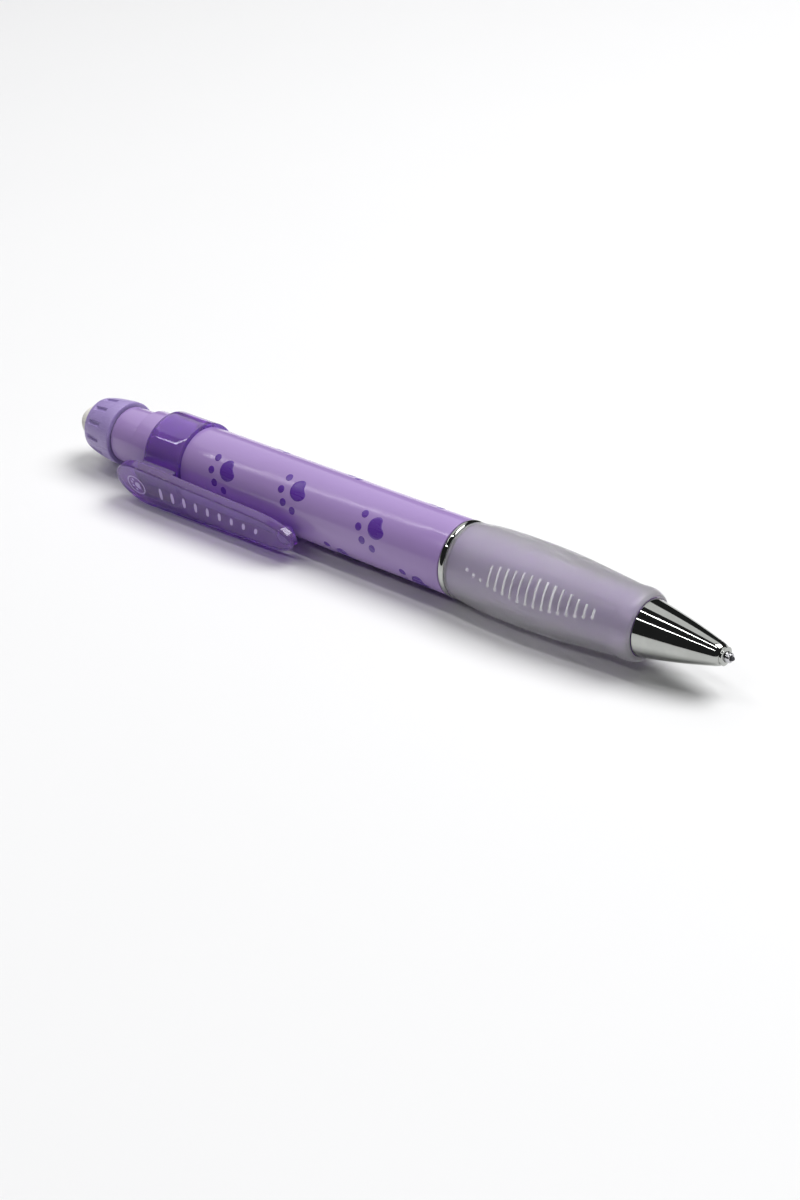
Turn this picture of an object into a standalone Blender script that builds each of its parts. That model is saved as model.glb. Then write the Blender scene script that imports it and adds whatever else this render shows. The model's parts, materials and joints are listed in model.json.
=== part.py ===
"""A push-button mechanical pencil with a twist-out eraser, lying on its grip, its collar and its clip's edge.

World: +X runs from the eraser to the lead, +Z is up, and the origin is on the table under the middle.
Every piece is modelled in the pencil's own frame. Its local Z is the axis, and a "station" is a place along
it, 0 at the shoulder where the barrel meets the trim ring and growing towards the lead. Lengths are in metres.
"""

import math

import bmesh
import bpy
from mathutils import Matrix, Vector

mm = 0.001

# Clearances
seat_gap = 0.25 * mm  # between two pieces that sit on each other
slide_gap = 0.25 * mm  # around a piece that slides or turns
play = 0.3 * mm  # between two faces along the axis
lead_gap = 0.15 * mm  # around the lead in its guide
slot_clearance = 0.25 * mm  # around the pip in its slots

# Visible lengths, from the eraser to the lead
eraser_proud = 3.3 * mm
knob_length = 7.1 * mm
sleeve_exposed = 6.5 * mm  # the button's room to travel
neck_exposed = 4.6 * mm
collar_length = 8.4 * mm
barrel_length = 58.4 * mm
ring_width = 0.9 * mm
grip_length = 35.3 * mm
cone_length = 14.1 * mm
guide_proud = 0.8 * mm
lead_proud = 0.5 * mm

# Bought sizes, which everything round them is made to fit
eraser_radius = 2.9 * mm
eraser_length = 32.1 * mm
lead_radius = 0.35 * mm
lead_length = 60.0 * mm
lead_tube_radius = 2.6 * mm

# Walls from the eraser outwards
carrier_wall = 0.5 * mm
spiral_tube_wall = 0.5 * mm
sleeve_wall = 0.5 * mm
barrel_wall = 1.03 * mm
neck_wall = 0.55 * mm
collar_wall = 0.87 * mm
knob_wall = 1.2 * mm
knob_rear_wall = 0.35 * mm
knob_cap = 1.3 * mm  # the knob's end, round the eraser's hole
ring_rise = 0.07 * mm  # of the trim ring over the barrel
grip_swell = 0.64 * mm  # of the grip's fattest place over the barrel
grip_rubber = 0.88 * mm  # the grip's wall at its waist
core_inset = 1.08 * mm  # from the barrel's outside to the core's, under the grip's rear

# Walls from the lead outwards
guide_wall = 0.3 * mm
cone_lip = 0.5 * mm
chuck_stem_wall = 0.45 * mm
chuck_head_rise = 0.6 * mm
clutch_ring_wall = 0.35 * mm
bush_rise = 0.65 * mm  # of the bush over the clutch ring
connector_nose_wall = 0.6 * mm
spigot_wall = 0.45 * mm
lead_tube_wall = 0.5 * mm
connector_wall = 0.35 * mm
connector_room = 0.6 * mm
socket_wall = 0.6 * mm
core_wall = 0.9 * mm

# Travels
push_travel = 4.5 * mm
clutch_travel = 1.0 * mm
eraser_pitch = 6.0 * mm  # eraser feed for one turn of the knob
eraser_in_travel = 3.0 * mm
eraser_out_travel = 15.0 * mm

# Lengths inside
carrier_floor = 2.0 * mm
carrier_cup = 5.0 * mm
pip_radius = 0.35 * mm
socket_setback = 3.5 * mm  # of the sleeve's socket in front of the carrier's last place
socket_length = 5.5 * mm
socket_overlap = 4.0 * mm  # of the lead tube in the socket
spigot_length = 3.1 * mm  # the barrel's end inside the cone
chuck_length = 20.0 * mm
chuck_head_length = 2.5 * mm
slit_width = 0.3 * mm
slit_length = 11.0 * mm
clutch_ring_length = 1.8 * mm
bush_length = 8.0 * mm
spring_length = 9.8 * mm
spring_wire_radius = 0.2 * mm
spring_turns = 6
connector_web = 2.3 * mm
connector_socket = 6.0 * mm
connector_nose = 5.0 * mm
chuck_stop_depth = 5.5 * mm  # from the cone's mouth
retainer_room = 1.8 * mm  # the retainer's chamber, along the axis
retainer_room_radius = 1.5 * mm

# Clip
clip_standoff = 1.03 * mm  # of the clip's underside over the collar
clip_depth = 1.8 * mm
clip_skin = 0.95 * mm
clip_wall = 0.9 * mm
clip_half_width = 4.6 * mm
clip_tip_half_width = 3.5 * mm
clip_rear_overhang = 4.9 * mm  # behind the collar
clip_arm_length = 29.3 * mm  # in front of the collar
clip_root_length = 0.8 * mm  # the same, of the part that doesn't bend
clip_rear_round = 6.5 * mm
clip_tip_round = 9.0 * mm
clip_edge_round = 0.35 * mm
clip_foot_radius = 1.5 * mm
clip_foot_setback = 2.6 * mm  # behind the clip's tip
clip_web_half_width = 4.0 * mm

# How finely round pieces are divided
outer_steps = 36
inner_steps = 24
fine_steps = 16
spare_steps = 10

# Stations that follow from the lengths
barrel_front = -0.1 * mm
ring_rear = barrel_front + seat_gap
ring_front = ring_rear + ring_width
grip_rear = ring_front + seat_gap
grip_front = grip_rear + grip_length
core_front = grip_front - play
cone_rear = grip_front
cone_front = cone_rear + cone_length
guide_front = cone_front + guide_proud
lead_front = guide_front + lead_proud
spigot_front = core_front + spigot_length
shoulder = barrel_front - barrel_length
collar_front = shoulder - play
collar_rear = collar_front - collar_length
neck_rear = collar_rear - neck_exposed
knob_front = neck_rear - sleeve_exposed
knob_rear = knob_front - knob_length
eraser_rear = knob_rear - eraser_proud
eraser_front = eraser_rear + eraser_length
clip_rear = collar_rear - clip_rear_overhang
clip_front = collar_front + clip_arm_length
clip_split = collar_front + clip_root_length

# Radii that follow, from the eraser outwards
cup_radius = eraser_radius + seat_gap
carrier_radius = cup_radius + carrier_wall
spiral_tube_bore = carrier_radius + slide_gap
spiral_tube_radius = spiral_tube_bore + spiral_tube_wall
sleeve_bore = spiral_tube_radius + slide_gap
sleeve_radius = sleeve_bore + sleeve_wall
barrel_bore = sleeve_radius + slide_gap
barrel_radius = barrel_bore + barrel_wall
neck_radius = barrel_bore + neck_wall
collar_bore = neck_radius + seat_gap
collar_radius = collar_bore + collar_wall
knob_cavity = spiral_tube_radius + seat_gap
knob_radius = knob_cavity + knob_wall
knob_rear_radius = knob_cavity + knob_rear_wall
ring_radius = barrel_radius + ring_rise
grip_radius = barrel_radius + grip_swell
core_rear_radius = barrel_radius - core_inset
clip_underside = collar_radius + clip_standoff
clip_face_height = clip_underside + clip_depth

# Radii that follow, from the lead outwards
guide_bore = lead_radius + lead_gap
guide_radius = guide_bore + guide_wall
cone_bore = guide_radius + seat_gap
cone_tip_radius = cone_bore + cone_lip
chuck_bore_radius = lead_radius + slide_gap
chuck_stem_radius = chuck_bore_radius + chuck_stem_wall
chuck_head_radius = chuck_stem_radius + chuck_head_rise
clutch_ring_bore = chuck_head_radius + seat_gap
clutch_ring_radius = clutch_ring_bore + clutch_ring_wall
clutch_chamber_radius = clutch_ring_radius + slide_gap
bush_radius = clutch_ring_radius + bush_rise
bush_seat_radius = bush_radius + seat_gap
spigot_radius = bush_seat_radius + spigot_wall
cone_socket_radius = spigot_radius + seat_gap
connector_bore = chuck_stem_radius + seat_gap
connector_nose_radius = connector_bore + connector_nose_wall
lead_tube_bore = lead_tube_radius - lead_tube_wall
tube_socket_radius = lead_tube_radius + seat_gap
connector_radius = tube_socket_radius + connector_wall
core_bore = connector_radius + connector_room
core_front_radius = core_bore + core_wall
cone_base_radius = core_front_radius
grip_waist_radius = core_front_radius + seat_gap + grip_rubber

# The chuck's parts, from the cone's inside backwards
chamber_front = cone_front - chuck_stop_depth
retainer_room_front = chamber_front + retainer_room
chuck_front = chamber_front - play - push_travel
chuck_rear = chuck_front - chuck_length
clutch_ring_front = chuck_front - 0.4 * mm
clutch_ring_rear = clutch_ring_front - clutch_ring_length
clutch_stop = clutch_ring_front + clutch_travel + play
bush_front = clutch_ring_rear - play
bush_rear = bush_front - bush_length
spring_front = bush_rear - play
spring_rear = spring_front - spring_length
connector_face = spring_rear - play
connector_front = connector_face + connector_nose
connector_web_rear = connector_face - connector_web
connector_rear = connector_web_rear - connector_socket

# The eraser unit's parts
carrier_front = eraser_front + play + carrier_floor
pip_station = carrier_front - carrier_floor / 2
slot_rear = pip_station - eraser_out_travel
slot_front = pip_station + eraser_in_travel
spiral_tube_rear = knob_rear + knob_cap + play
spiral_tube_front = slot_front + pip_radius + 2.0 * mm
socket_rear = carrier_front + eraser_in_travel + socket_setback
socket_front = socket_rear + socket_length
lead_tube_rear = socket_front - socket_overlap
lead_tube_front = connector_web_rear - seat_gap


# ---------------------------------------------------------------- helpers


def clear_scene():
    for obj in list(bpy.data.objects):
        bpy.data.objects.remove(obj, do_unlink=True)


def new_collection(name):
    collection = bpy.data.collections.new(name)
    bpy.context.scene.collection.children.link(collection)
    return collection


def new_material(name, colour, roughness, metallic=0.0, transmission=0.0):
    material = bpy.data.materials.new(name)
    material.use_nodes = True
    shader = material.node_tree.nodes["Principled BSDF"]
    shader.inputs["Base Color"].default_value = (*colour, 1.0)
    shader.inputs["Roughness"].default_value = roughness
    shader.inputs["Metallic"].default_value = metallic
    shader.inputs["Transmission Weight"].default_value = transmission
    material.diffuse_color = (*colour, 1.0)
    return material


def new_empty(name, parent=None, location=(0, 0, 0), rotation=(0, 0, 0)):
    empty = bpy.data.objects.new(name, None)
    empty.empty_display_size = 5 * mm
    empty.location = location
    empty.rotation_euler = rotation
    empty.parent = parent
    parts.objects.link(empty)
    return empty


def add_object(name, mesh, parent, material=None):
    """A mesh as a part, or as a cutter where it has no material."""
    obj = bpy.data.objects.new(name, mesh)
    obj.parent = parent
    if material is None:
        cutters.objects.link(obj)
        obj.hide_render = True
        obj.display_type = "WIRE"
    else:
        parts.objects.link(obj)
        mesh.materials.append(material)
    return obj


def mesh_from(bm, name):
    bmesh.ops.recalc_face_normals(bm, faces=bm.faces)
    mesh = bpy.data.meshes.new(name)
    bm.to_mesh(mesh)
    bm.free()
    return mesh


def turned(name, outer, inner, parent, material=None, steps=outer_steps):
    """A piece turned about the pencil's axis.

    outer and inner list (station, radius) from rear to front. An inner of None makes the piece solid.
    """
    if inner is None:
        inner = [(outer[0][0], 0.0), (outer[-1][0], 0.0)]
    closed = all(radius > 0 for _, radius in inner)
    path = list(reversed(outer)) + list(inner) if closed else [inner[1], *reversed(outer), inner[0]]
    bm = bmesh.new()
    points = [bm.verts.new((radius, 0, station)) for station, radius in path]
    for first, second in zip(points, points[1:]):
        bm.edges.new((first, second))
    if closed:
        bm.edges.new((points[-1], points[0]))
    mesh = bpy.data.meshes.new(name)
    bm.to_mesh(mesh)
    bm.free()
    obj = add_object(name, mesh, parent, material)
    screw = obj.modifiers.new("Turn", "SCREW")
    screw.axis = "Z"
    screw.steps = steps
    screw.render_steps = steps
    screw.use_smooth_shade = True
    screw.use_merge_vertices = True
    screw.merge_threshold = 1e-6
    return obj


def tube(name, rear, front, outer_radius, bore, parent, material=None, steps=inner_steps):
    outline = [(rear, outer_radius), (front, outer_radius)]
    return turned(name, outline, [(rear, bore), (front, bore)], parent, material, steps)


def boolean(obj, other, operation):
    modifier = obj.modifiers.new(f"{operation.title()} {other.name}", "BOOLEAN")
    modifier.operation = operation
    modifier.solver = "EXACT"
    modifier.object = other


def box_mesh(name, low, high):
    bm = bmesh.new()
    bmesh.ops.create_cube(bm, size=1.0)
    low, high = Vector(low), Vector(high)
    bmesh.ops.scale(bm, vec=high - low, verts=bm.verts)
    bmesh.ops.translate(bm, vec=(high + low) / 2, verts=bm.verts)
    return mesh_from(bm, name)


def around_axis(name, count, make):
    """One mesh holding what make(bm) adds, copied count times about the pencil's axis."""
    bm = bmesh.new()
    for index in range(count):
        old = set(bm.verts)
        make(bm)
        new = [vert for vert in bm.verts if vert not in old]
        turn = Matrix.Rotation(2 * math.pi * index / count, 3, "Z")
        bmesh.ops.rotate(bm, cent=(0, 0, 0), matrix=turn, verts=new)
    return mesh_from(bm, name)


def curve_mesh(curve, name):
    """The closed mesh of a curve, its caps welded."""
    holder = bpy.data.objects.new(name, curve)
    parts.objects.link(holder)
    bpy.context.view_layer.update()
    graph = bpy.context.evaluated_depsgraph_get()
    mesh = bpy.data.meshes.new_from_object(holder.evaluated_get(graph))
    bpy.data.objects.remove(holder, do_unlink=True)
    bpy.data.curves.remove(curve)
    bm = bmesh.new()
    bm.from_mesh(mesh)
    bmesh.ops.remove_doubles(bm, verts=bm.verts, dist=1e-6)
    bpy.data.meshes.remove(mesh)
    return mesh_from(bm, name)


def helix_curve(name, radius, rear, front, start_angle, turns, wire_radius, points_per_turn):
    """A right-handed coil about the pencil's axis, as a poly curve."""
    count = round(turns * points_per_turn) + 1
    curve = bpy.data.curves.new(name, "CURVE")
    curve.dimensions = "3D"
    curve.bevel_depth = wire_radius
    curve.bevel_resolution = 2
    curve.use_fill_caps = True
    spline = curve.splines.new("POLY")
    spline.points.add(count - 1)
    for index, point in enumerate(spline.points):
        share = index / (count - 1)
        angle = start_angle + 2 * math.pi * turns * share
        station = rear + (front - rear) * share
        point.co = (radius * math.cos(angle), radius * math.sin(angle), station, 1.0)
    return curve


# ---------------------------------------------------------------- barrel group


def add_barrel(axis, materials):
    """One moulding: neck, visible barrel, the core under the grip and the spigot that the cone screws onto."""
    rib = 0.2 * mm
    shoulder_edge = 0.15 * mm
    bore_step = barrel_front - 1.4 * mm
    bush_shoulder = bush_rear - 0.6 * mm
    outer = [
        (neck_rear, neck_radius - rib),
        (neck_rear + rib, neck_radius),
        (collar_rear - 0.8 * mm, neck_radius),
        (collar_rear - 0.5 * mm, neck_radius + rib),
        (collar_rear - play, neck_radius + rib),
        (collar_rear - play, neck_radius),
        (shoulder, neck_radius),
        (shoulder, barrel_radius - shoulder_edge),
        (shoulder + shoulder_edge, barrel_radius),
        (barrel_front, barrel_radius),
        (barrel_front, core_rear_radius),
        (core_front, core_front_radius),
        (core_front, spigot_radius),
        (spigot_front, spigot_radius),
    ]
    inner = [
        (neck_rear, barrel_bore),
        (bore_step, barrel_bore),
        (bore_step + 1.2 * mm, core_bore),
        (bush_shoulder - 0.4 * mm, core_bore),
        (bush_shoulder, bush_seat_radius),
        (spigot_front, bush_seat_radius),
    ]
    return turned("barrel", outer, inner, axis, materials["lilac"])


def add_trim_ring(axis, materials):
    edge = 0.12 * mm
    outer = [
        (ring_rear, ring_radius - edge),
        (ring_rear + edge, ring_radius),
        (ring_front - edge, ring_radius),
        (ring_front, ring_radius - edge),
    ]
    bore = core_rear_radius + seat_gap
    return turned("trim_ring", outer, [(ring_rear, bore), (ring_front, bore)], axis, materials["chrome"])


def grip_profile():
    """(share of the length, radius) of the grip: a swelling, a waist and a small bead at the front."""
    swell = grip_radius
    waist = grip_waist_radius
    return [
        (0.0, barrel_radius - 0.05 * mm),
        (0.09, barrel_radius + 0.3 * (swell - barrel_radius) + 0.14 * mm),
        (0.22, swell - 0.05 * mm),
        (0.36, swell),
        (0.5, swell - 0.08 * mm),
        (0.64, waist + 0.7 * (swell - waist)),
        (0.77, waist + 0.4 * (swell - waist)),
        (0.9, waist),
        (0.945, waist + 0.13 * mm),
        (0.975, waist - 0.03 * mm),
        (1.0, waist - 0.45 * mm),
    ]


def add_grip_sleeve(axis, materials):
    outer = [(grip_rear + share * grip_length, radius) for share, radius in grip_profile()]
    inner = [
        (grip_rear, core_rear_radius + seat_gap),
        (grip_front, core_front_radius + seat_gap),
    ]
    return turned("grip_sleeve", outer, inner, axis, materials["frost"])


def cone_outer_radius(station):
    """The cone's outside: a slightly bulged taper."""
    share = (station - cone_rear) / cone_length
    straight = cone_base_radius + (cone_tip_radius - cone_base_radius) * share
    return straight + 0.22 * mm * math.sin(math.pi * share)


def add_nose_cone(axis, materials):
    stations = [cone_rear + cone_length * share for share in (0.0, 0.17, 0.34, 0.52, 0.7, 0.86, 0.96)]
    outer = [(station, cone_outer_radius(station)) for station in stations]
    outer[0] = (cone_rear, cone_base_radius - 0.1 * mm)
    outer.insert(1, (cone_rear + 0.1 * mm, cone_base_radius))
    outer.append((cone_front, cone_tip_radius - 0.35 * mm))
    socket_end = spigot_front + play
    head_room_radius = chuck_head_radius + play
    inner = [
        (cone_rear, cone_socket_radius),
        (socket_end, cone_socket_radius),
        (socket_end, clutch_chamber_radius),
        (clutch_stop, clutch_chamber_radius),
        (clutch_stop, head_room_radius),
        (chamber_front, head_room_radius),
        (chamber_front, retainer_room_radius),
        (retainer_room_front, retainer_room_radius),
        (retainer_room_front, cone_bore),
        (cone_front, cone_bore),
    ]
    return turned("nose_cone", outer, inner, axis, materials["chrome"])


def add_lead_guide(axis, materials):
    rear = retainer_room_front + play
    edge = 0.15 * mm
    outer = [
        (rear, guide_radius),
        (guide_front - edge, guide_radius),
        (guide_front, guide_radius - edge),
    ]
    inner = [(rear, guide_bore), (guide_front, guide_bore)]
    return turned("lead_guide", outer, inner, axis, materials["steel"], fine_steps)


def add_lead_retainer(axis, materials):
    ends = (chamber_front + seat_gap, retainer_room_front - seat_gap)
    radius = retainer_room_radius - seat_gap
    return tube("lead_retainer", *ends, radius, guide_bore, axis, materials["black_rubber"], fine_steps)


def add_chuck_bush(axis, materials):
    bore = connector_bore + 0.1 * mm
    return tube("chuck_bush", bush_rear, bush_front, bush_radius, bore, axis, materials["white_plastic"])


def add_chuck_spring(axis, materials):
    coil_radius = connector_nose_radius + spring_wire_radius + slide_gap
    ends = (spring_rear + spring_wire_radius, spring_front - spring_wire_radius)
    curve = helix_curve("chuck_spring", coil_radius, *ends, 0.0, spring_turns, spring_wire_radius, 9)
    return add_object("chuck_spring", curve_mesh(curve, "chuck_spring"), axis, materials["steel"])


# ---------------------------------------------------------------- push unit


def add_chuck(axis, materials):
    """A brass collet: a thin stem and a conical head, slit into three jaws."""
    head_rear = chuck_front - chuck_head_length
    outer = [
        (chuck_rear, chuck_stem_radius),
        (head_rear, chuck_stem_radius),
        (head_rear + 1.1 * mm, chuck_head_radius - 0.05 * mm),
        (chuck_front - 0.3 * mm, chuck_head_radius),
        (chuck_front, chuck_head_radius - 0.2 * mm),
    ]
    inner = [(chuck_rear, chuck_bore_radius), (chuck_front, chuck_bore_radius)]
    chuck = turned("chuck", outer, inner, axis, materials["brass"], inner_steps)

    def slit(bm):
        made = bmesh.ops.create_cube(bm, size=1.0)["verts"]
        reach = chuck_head_radius
        bmesh.ops.scale(bm, vec=(reach, slit_width, slit_length), verts=made)
        middle = (0.3 * mm + reach / 2, 0, chuck_front + play - slit_length / 2)
        bmesh.ops.translate(bm, vec=middle, verts=made)

    slits = add_object("chuck_slits", around_axis("chuck_slits", 3, slit), axis)
    boolean(chuck, slits, "DIFFERENCE")
    return chuck


def add_clutch_ring(axis, materials):
    ends = (clutch_ring_rear, clutch_ring_front)
    return tube("clutch_ring", *ends, clutch_ring_radius, clutch_ring_bore, axis, materials["brass"])


def add_chuck_connector(axis, materials):
    """Joins the reservoir tube to the chuck's stem, and its flange takes the spring."""
    outer = [
        (connector_rear, connector_radius),
        (connector_face, connector_radius),
        (connector_face, connector_nose_radius),
        (connector_front, connector_nose_radius),
    ]
    inner = [
        (connector_rear, tube_socket_radius),
        (connector_web_rear, tube_socket_radius),
        (connector_web_rear + 1.0 * mm, chuck_bore_radius),
        (chuck_rear - play, chuck_bore_radius),
        (chuck_rear - play, connector_bore),
        (connector_front, connector_bore),
    ]
    return turned("chuck_connector", outer, inner, axis, materials["white_plastic"], inner_steps)


def add_lead_tube(axis, materials):
    ends = (lead_tube_rear, lead_tube_front)
    return tube("lead_tube", *ends, lead_tube_radius, lead_tube_bore, axis, materials["white_plastic"])


def add_leads(axis, materials):
    """The lead in use, on the axis, and two spares on the floor of the reservoir tube."""
    tip = 0.1 * mm
    outer = [
        (lead_front - lead_length, lead_radius),
        (lead_front - tip, lead_radius),
        (lead_front, lead_radius - tip),
    ]
    turned("lead", outer, None, axis, materials["graphite"], fine_steps)
    down = lead_tube_bore - lead_radius - play
    apart = lead_radius + 0.2 * mm
    front = lead_tube_front - 1.0 * mm
    for number, side in ((1, -apart), (2, apart)):
        outer = [(front - lead_length, lead_radius), (front, lead_radius)]
        spare = turned(f"spare_lead_{number}", outer, None, axis, materials["graphite"], spare_steps)
        spare.location = (down, side, 0)


def add_push_sleeve(axis, materials):
    """The button's tube: it holds the eraser unit, and its front socket takes the reservoir tube."""
    rear = knob_front + play
    socket = tube_socket_radius
    outer = [
        (rear, sleeve_radius),
        (socket_rear + 1.0 * mm, sleeve_radius),
        (socket_rear + 2.5 * mm, socket + socket_wall),
        (socket_front, socket + socket_wall),
    ]
    inner = [
        (rear, sleeve_bore),
        (socket_rear, sleeve_bore),
        (socket_rear, socket),
        (socket_front, socket),
    ]
    sleeve = turned("push_sleeve", outer, inner, axis, materials["lilac"])
    half = pip_radius + slot_clearance
    low = (carrier_radius, -half, slot_rear - half)
    high = (sleeve_radius + play, half, slot_front + half)
    track = add_object("pip_track", box_mesh("pip_track", low, high), axis)
    boolean(sleeve, track, "DIFFERENCE")
    return sleeve


# ---------------------------------------------------------------- eraser unit


def add_twist_knob(axis, materials):
    """A tapered cap with a round hole for the eraser, and short flutes from its rear edge."""
    swell = knob_radius - knob_rear_radius
    edge = 0.4 * mm
    corner = 0.12 * mm
    front_edge = 0.25 * mm
    outer = [
        (knob_rear, knob_rear_radius - edge),
        (knob_rear + corner, knob_rear_radius - corner),
        (knob_rear + edge, knob_rear_radius),
        (knob_rear + 0.25 * knob_length, knob_rear_radius + 0.35 * swell),
        (knob_rear + 0.5 * knob_length, knob_rear_radius + 0.66 * swell),
        (knob_rear + 0.78 * knob_length, knob_rear_radius + 0.93 * swell),
        (knob_front - 0.6 * mm, knob_radius),
        (knob_front - front_edge, knob_radius),
        (knob_front, knob_radius - front_edge),
    ]
    hole = eraser_radius + slide_gap
    inner = [
        (knob_rear, hole),
        (knob_rear + knob_cap, hole),
        (knob_rear + knob_cap, knob_cavity),
        (knob_front, knob_cavity),
    ]
    knob = turned("twist_knob", outer, inner, axis, materials["lilac"])
    flute_radius = 0.45 * mm
    flute_length = 0.6 * knob_length

    def flute(bm):
        made = bmesh.ops.create_cone(
            bm,
            cap_ends=True,
            segments=8,
            radius1=flute_radius,
            radius2=flute_radius,
            depth=flute_length + edge,
        )["verts"]
        lean = Matrix.Rotation(math.atan2(0.6 * swell, 0.5 * knob_length), 3, "Y")
        bmesh.ops.rotate(bm, cent=(0, 0, 0), matrix=lean, verts=made)
        outward = knob_rear_radius + 0.4 * swell + corner
        middle = (outward, 0, knob_rear + (flute_length - edge) / 2)
        bmesh.ops.translate(bm, vec=middle, verts=made)

    flutes = add_object("knob_flutes", around_axis("knob_flutes", 12, flute), axis)
    boolean(knob, flutes, "DIFFERENCE")
    return knob


def add_spiral_tube(axis, materials):
    """Turns with the knob. Its right-handed slot drives the carrier's pip along the sleeve's straight track."""
    ends = (spiral_tube_rear, spiral_tube_front)
    spiral = tube("spiral_tube", *ends, spiral_tube_radius, spiral_tube_bore, axis, materials["white_plastic"])
    run_out = 0.5 * mm
    start = slot_rear - run_out
    end = slot_front + run_out
    turns = (end - start) / eraser_pitch
    start_angle = 2 * math.pi * (start - pip_station) / eraser_pitch
    middle_radius = (spiral_tube_radius + spiral_tube_bore) / 2
    cut_radius = pip_radius + slot_clearance + 0.1 * mm
    curve = helix_curve("spiral_slot", middle_radius, start, end, start_angle, turns, cut_radius, 14)
    slot = add_object("spiral_slot", curve_mesh(curve, "spiral_slot"), axis)
    boolean(spiral, slot, "DIFFERENCE")
    return spiral


def add_eraser_carrier(axis, materials):
    """A cup on the eraser's end, with the pip that rides in the spiral slot and the straight track."""
    floor = carrier_front - carrier_floor
    rear = floor - carrier_cup
    outer = [(rear, carrier_radius), (carrier_front, carrier_radius)]
    bore = 1.0 * mm
    inner = [(rear, cup_radius), (floor, cup_radius), (floor, bore), (carrier_front, bore)]
    carrier = turned("eraser_carrier", outer, inner, axis, materials["white_plastic"], inner_steps)
    bm = bmesh.new()
    root = cup_radius
    tip = sleeve_radius - 0.15 * mm
    bmesh.ops.create_cone(
        bm, cap_ends=True, segments=12, radius1=pip_radius, radius2=pip_radius, depth=tip - root
    )
    bmesh.ops.rotate(bm, cent=(0, 0, 0), matrix=Matrix.Rotation(math.pi / 2, 3, "Y"), verts=bm.verts)
    bmesh.ops.translate(bm, vec=((root + tip) / 2, 0, pip_station), verts=bm.verts)
    pip = add_object("carrier_pip", mesh_from(bm, "carrier_pip"), axis)
    boolean(carrier, pip, "UNION")
    return carrier


def add_eraser(axis, materials):
    edge = 0.5 * mm
    corner = 0.3 * edge
    outer = [
        (eraser_rear, eraser_radius - edge),
        (eraser_rear + corner, eraser_radius - corner),
        (eraser_rear + edge, eraser_radius),
        (eraser_front, eraser_radius),
    ]
    return turned("eraser", outer, None, axis, materials["eraser_rubber"], inner_steps)


# ---------------------------------------------------------------- clip


def clip_width_at(station):
    """Half the clip's width: elliptical ends on a straight taper."""
    taper_rear = clip_rear + clip_rear_round
    taper_front = clip_front - clip_tip_round
    if station < taper_rear:
        inward = (taper_rear - station) / clip_rear_round
        return clip_half_width * math.sqrt(max(0.0, 1 - inward**2))
    if station > taper_front:
        inward = (station - taper_front) / clip_tip_round
        return clip_tip_half_width * math.sqrt(max(0.0, 1 - inward**2))
    share = (station - taper_rear) / (taper_front - taper_rear)
    return clip_half_width + (clip_tip_half_width - clip_half_width) * share


def clip_stations(rear, front):
    """Stations along the clip's edge from rear to front, closer together round each end."""
    taper_rear = clip_rear + clip_rear_round
    taper_front = clip_front - clip_tip_round
    quarter = [math.cos(math.pi / 2 * step / 6) for step in range(6)]
    rear_end = [taper_rear - clip_rear_round * share for share in quarter]
    front_end = [taper_front + clip_tip_round * share for share in reversed(quarter)]
    inside = [s for s in [*rear_end, taper_rear, taper_front, *front_end] if rear < s < front]
    return [rear, *inside, front]


def clip_plate_mesh(name, rear, front, low, high, inset=0.0):
    """The clip's outline between two stations, as a flat plate from height low to height high."""
    side = []
    for station in clip_stations(rear, front):
        width = clip_width_at(station)
        if width > inset:
            side.append((station, width - inset))
    if clip_width_at(front) <= inset:
        side.append((front - inset, 0.0))
    if clip_width_at(rear) <= inset:
        side.insert(0, (rear + inset, 0.0))
    other = [(station, -width) for station, width in reversed(side) if width > 0]
    curve = bpy.data.curves.new(name, "CURVE")
    curve.dimensions = "2D"
    curve.fill_mode = "BOTH"
    curve.extrude = (high - low) / 2
    spline = curve.splines.new("POLY")
    spline.points.add(len(side) + len(other) - 1)
    for point, (station, width) in zip(spline.points, side + other):
        point.co = (station, width, 0, 1)
    spline.use_cyclic_u = True
    mesh = curve_mesh(curve, name)
    stand_up = Matrix(((0, 0, 1), (0, -1, 0), (1, 0, 0))).to_4x4()
    mesh.transform(Matrix.Translation(((high + low) / 2, 0, 0)) @ stand_up)
    return mesh


def round_edges(obj):
    bevel = obj.modifiers.new("Round edges", "BEVEL")
    bevel.width = clip_edge_round
    bevel.segments = 2
    bevel.limit_method = "ANGLE"
    bevel.angle_limit = math.radians(50)
    bevel.use_clamp_overlap = True


def add_clip_collar(axis, clip_axis, materials):
    """The collar ring with the clip's root and rear end."""
    lip = 0.12 * mm
    outer = [
        (collar_rear, collar_radius - lip),
        (collar_rear + lip, collar_radius),
        (collar_front - lip, collar_radius),
        (collar_front, collar_radius - lip),
    ]
    inner = [(collar_rear, collar_bore), (collar_front, collar_bore)]
    collar = turned("clip_collar", outer, inner, axis, materials["violet"])
    heights = (clip_underside, clip_face_height)
    plate = add_object("clip_root", clip_plate_mesh("clip_root", clip_rear, clip_split, *heights), clip_axis)
    round_edges(plate)
    low = (collar_bore + play, -clip_web_half_width, collar_rear + play)
    high = (clip_underside + 0.4 * mm, clip_web_half_width, collar_front - play)
    web = add_object("clip_web", box_mesh("clip_web", low, high), clip_axis)
    ends = (collar_rear - mm, collar_front + mm)
    clear_neck = tube("neck_room", *ends, collar_bore, 0.5 * collar_bore, axis, steps=outer_steps)
    boolean(collar, web, "UNION")
    boolean(collar, clear_neck, "DIFFERENCE")
    boolean(collar, plate, "UNION")
    return collar


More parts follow.
